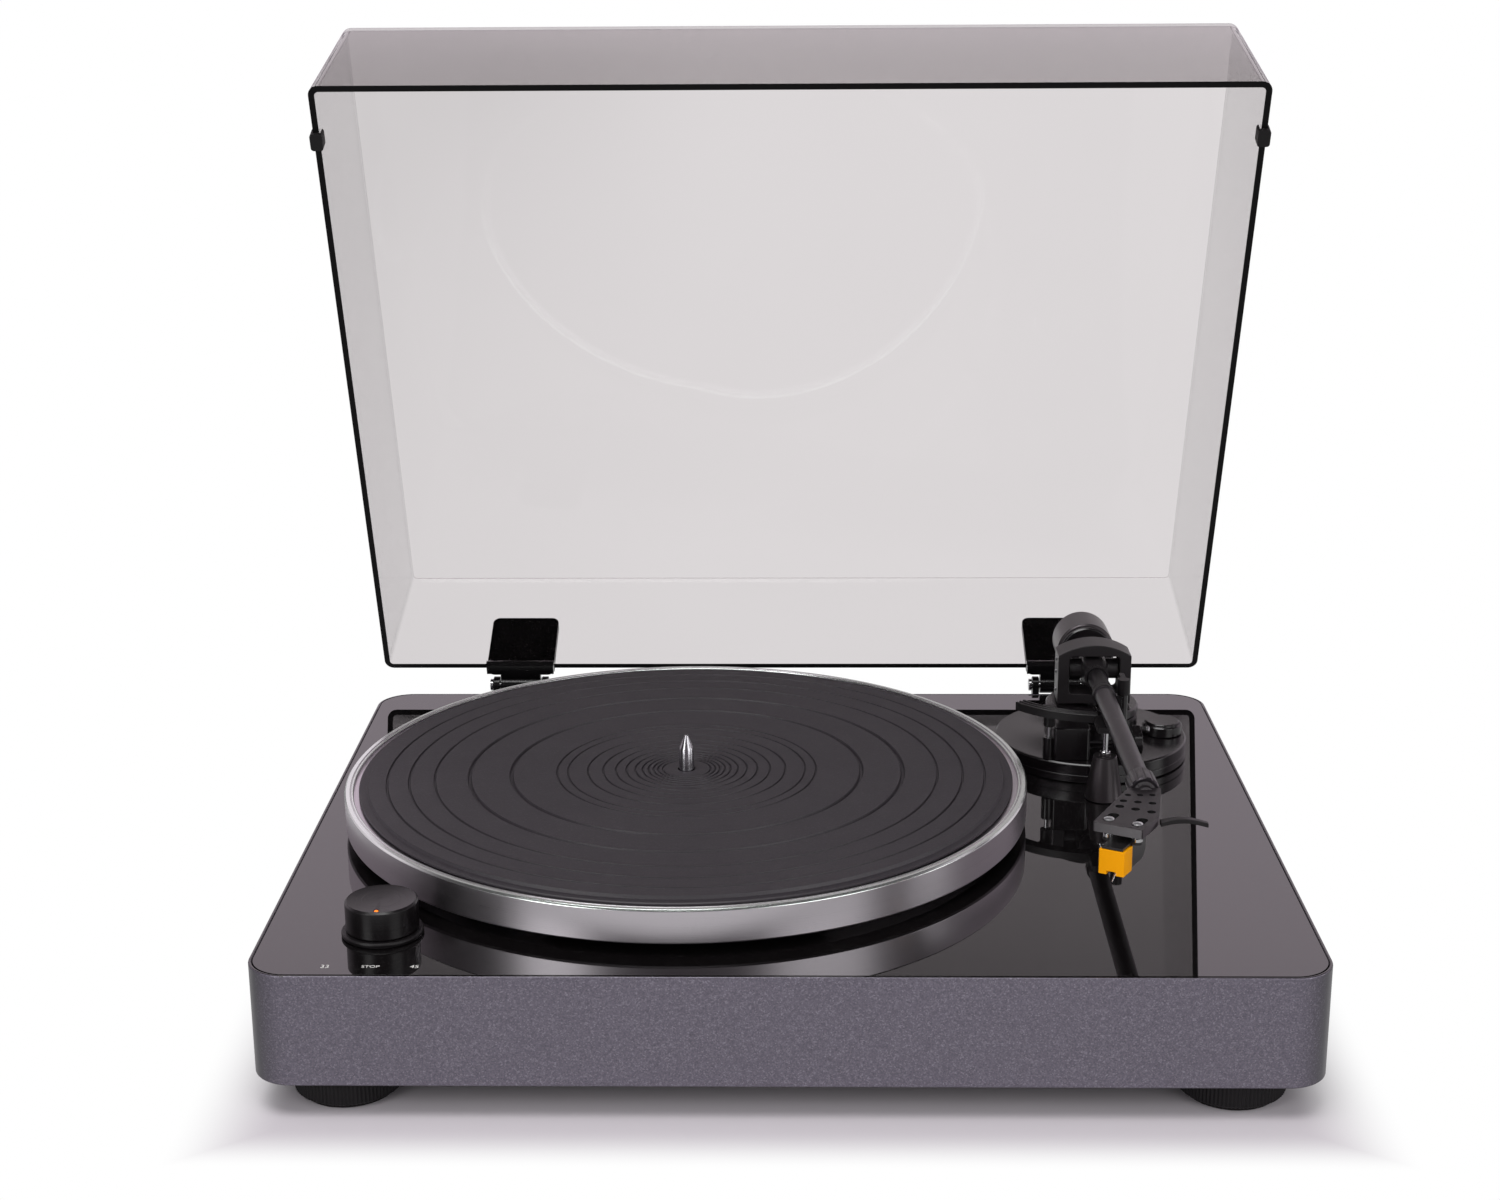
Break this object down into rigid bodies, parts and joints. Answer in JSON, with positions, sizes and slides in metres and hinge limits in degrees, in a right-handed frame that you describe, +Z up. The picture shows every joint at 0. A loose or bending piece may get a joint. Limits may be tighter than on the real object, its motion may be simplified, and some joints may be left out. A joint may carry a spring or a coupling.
{
  "type": "turntable",
  "caption": "Belt-driven turntable: low plinth with a gloss deck, aluminium platter with a rubber mat, straight tonearm, speed knob, turning feet and a tinted hinged cover.",
  "frame": {"origin": "middle of the whole part's box with the cover open, on the surface that the feet stand on", "axes": "+Z up, -Y is the front with the speed knob, +X is the right side with the tonearm"},
  "size_m": [0.4526, 0.4354, 0.427],
  "materials": {
    "plinth_paint": "fine metallic paint over moulded board",
    "gloss_black": "high gloss",
    "satin_black": "satin",
    "black_metal": "satin paint",
    "rubber": "matte",
    "mat_rubber": "matte, fine grain",
    "platter_metal": "turned and brushed",
    "polished_steel": "polished",
    "sheet_steel": "plain sheet",
    "brass": "turned",
    "white_plastic": "moulded",
    "zinc": "cast",
    "board": "solder mask",
    "dark_metal": "dark anodised satin",
    "weight_metal": "grey satin paint",
    "amber_plastic": "moulded",
    "light": "lit indicator",
    "tinted_acrylic": "clear, lightly grey"
  },
  "bodies": {
    "plinth": {"plinth_frame": "plinth_paint", "top_plate": "gloss_black", "bottom_cover": "satin_black", "rear_panel": "satin_black", "phono_jack_left": "brass", "phono_jack_right": "brass", "ground_terminal": "polished_steel", "power_inlet": "satin_black", "control_board": "board", "bearing_housing": "brass", "drive_belt": "rubber", "motor_mount": "sheet_steel", "motor": "zinc", "knob_ring": "satin_black", "speed_switch": "satin_black", "hinge_bracket_left": "gloss_black", "hinge_bracket_right": "gloss_black", "hinge_pin_left": "polished_steel", "hinge_pin_right": "polished_steel", "arm_base": "satin_black", "lift_housing": "satin_black", "lift_damper": "satin_black", "arm_rest": "satin_black"},
    "platter": {"spindle": "polished_steel", "sub_platter": "white_plastic", "platter": "platter_metal", "platter_mat": "mat_rubber"},
    "pulley": {"motor_pulley": "brass"},
    "knob": {"speed_knob": "satin_black", "knob_light": "light"},
    "lid": {"dust_cover": "tinted_acrylic", "lid_bumper_left": "rubber", "lid_bumper_right": "rubber", "hinge_socket_left": "gloss_black", "hinge_socket_right": "gloss_black"},
    "antiskate": {"antiskate_dial": "satin_black"},
    "cue_lever": {"cue_lever": "satin_black"},
    "cue_lift": {"lift_bar": "rubber", "lift_piston": "polished_steel", "lift_guide_rod": "polished_steel"},
    "latch": {"rest_latch": "satin_black"},
    "yoke": {"gimbal_yoke": "black_metal"},
    "tonearm": {"arm_sleeve": "black_metal", "arm_tube": "dark_metal", "weight_shaft": "polished_steel", "headshell": "dark_metal", "finger_lift": "satin_black", "cartridge": "satin_black", "stylus_block": "amber_plastic"},
    "lock_ring": {"lock_ring": "dark_metal"},
    "force_dial": {"force_dial": "satin_black"},
    "counterweight": {"counterweight": "weight_metal"},
    "foot_front_left": {"foot_front_left": "rubber", "foot_pad_front_left": "rubber"},
    "foot_front_right": {"foot_front_right": "rubber", "foot_pad_front_right": "rubber"},
    "foot_rear_left": {"foot_rear_left": "rubber", "foot_pad_rear_left": "rubber"},
    "foot_rear_right": {"foot_rear_right": "rubber", "foot_pad_rear_right": "rubber"}
  },
  "joints": [
    {"name": "platter_spin", "type": "hinge", "parent": "plinth", "child": "platter", "pos_m": [-0.04899, -0.03571, 0.075], "axis": [0, 0, -1], "continuous": true},
    {"name": "pulley_spin", "type": "hinge", "parent": "plinth", "child": "pulley", "pos_m": [-0.11856, 0.03889, 0.075], "axis": [0, 0, -1], "continuous": true},
    {"name": "speed_knob_turn", "type": "hinge", "parent": "plinth", "child": "knob", "pos_m": [-0.17298, -0.17472, 0.075], "axis": [0, 0, -1], "range_deg": [-30, 30]},
    {"name": "lid_hinge", "type": "hinge", "parent": "plinth", "child": "lid", "pos_m": [0, 0.15129, 0.0665], "axis": [-1, 0, 0], "range_deg": [-69, 5]},
    {"name": "antiskate_turn", "type": "hinge", "parent": "plinth", "child": "antiskate", "pos_m": [0.1907, 0.04892, 0.077], "axis": [0, 0, -1], "range_deg": [0, 270]},
    {"name": "cue_lever_turn", "type": "hinge", "parent": "plinth", "child": "cue_lever", "pos_m": [0.1713, 0.01532, 0.082], "axis": [1, 0, 0], "range_deg": [0, 70]},
    {"name": "cue_lift_slide", "type": "slide", "parent": "plinth", "child": "cue_lift", "axis": [0, 0, 1], "range_m": [0, 0.0027]},
    {"name": "latch_turn", "type": "hinge", "parent": "plinth", "child": "latch", "pos_m": [0.1639, 0.00432, 0.115], "axis": [0, 0, 1], "range_deg": [0, 90]},
    {"name": "arm_swing", "type": "hinge", "parent": "plinth", "child": "yoke", "pos_m": [0.15429, 0.04892, 0.11], "axis": [0, 0, -1], "range_deg": [0, 49]},
    {"name": "arm_tilt", "type": "hinge", "parent": "yoke", "child": "tonearm", "pos_m": [0.15429, 0.04892, 0.11], "axis": [-1, 0, 0], "range_deg": [-1.5, 6]},
    {"name": "lock_ring_turn", "type": "hinge", "parent": "tonearm", "child": "lock_ring", "pos_m": [0.15429, -0.12972, 0.11468], "axis": [0, 0.9997, -0.0262], "range_deg": [0, 60]},
    {"name": "weight_travel", "type": "slide", "parent": "tonearm", "child": "force_dial", "axis": [0, 0.9997, -0.0262], "range_m": [-0.005, 0.005]},
    {"name": "weight_turn", "type": "hinge", "parent": "force_dial", "child": "counterweight", "pos_m": [0.15429, 0.0909, 0.1089], "axis": [0, 0.9997, -0.0262], "range_deg": [-720, 720]},
    {"name": "foot_front_left_turn", "type": "hinge", "parent": "plinth", "child": "foot_front_left", "pos_m": [-0.188, -0.18871, 0.01], "axis": [0, 0, 1], "range_deg": [-180, 180]},
    {"name": "foot_front_right_turn", "type": "hinge", "parent": "plinth", "child": "foot_front_right", "pos_m": [0.188, -0.18871, 0.01], "axis": [0, 0, 1], "range_deg": [-180, 180]},
    {"name": "foot_rear_left_turn", "type": "hinge", "parent": "plinth", "child": "foot_rear_left", "pos_m": [-0.188, 0.11129, 0.01], "axis": [0, 0, 1], "range_deg": [-180, 180]},
    {"name": "foot_rear_right_turn", "type": "hinge", "parent": "plinth", "child": "foot_rear_right", "pos_m": [0.188, 0.11129, 0.01], "axis": [0, 0, 1], "range_deg": [-180, 180]}
  ],
  "couplings": [
    {"joint": "pulley_spin", "follows": "platter_spin", "ratio": 8.8571},
    {"joint": "cue_lever_turn", "follows": "cue_lift_slide", "rad_per_m": 452.49},
    {"joint": "weight_turn", "follows": "weight_travel", "rad_per_m": 2513.3}
  ]
}
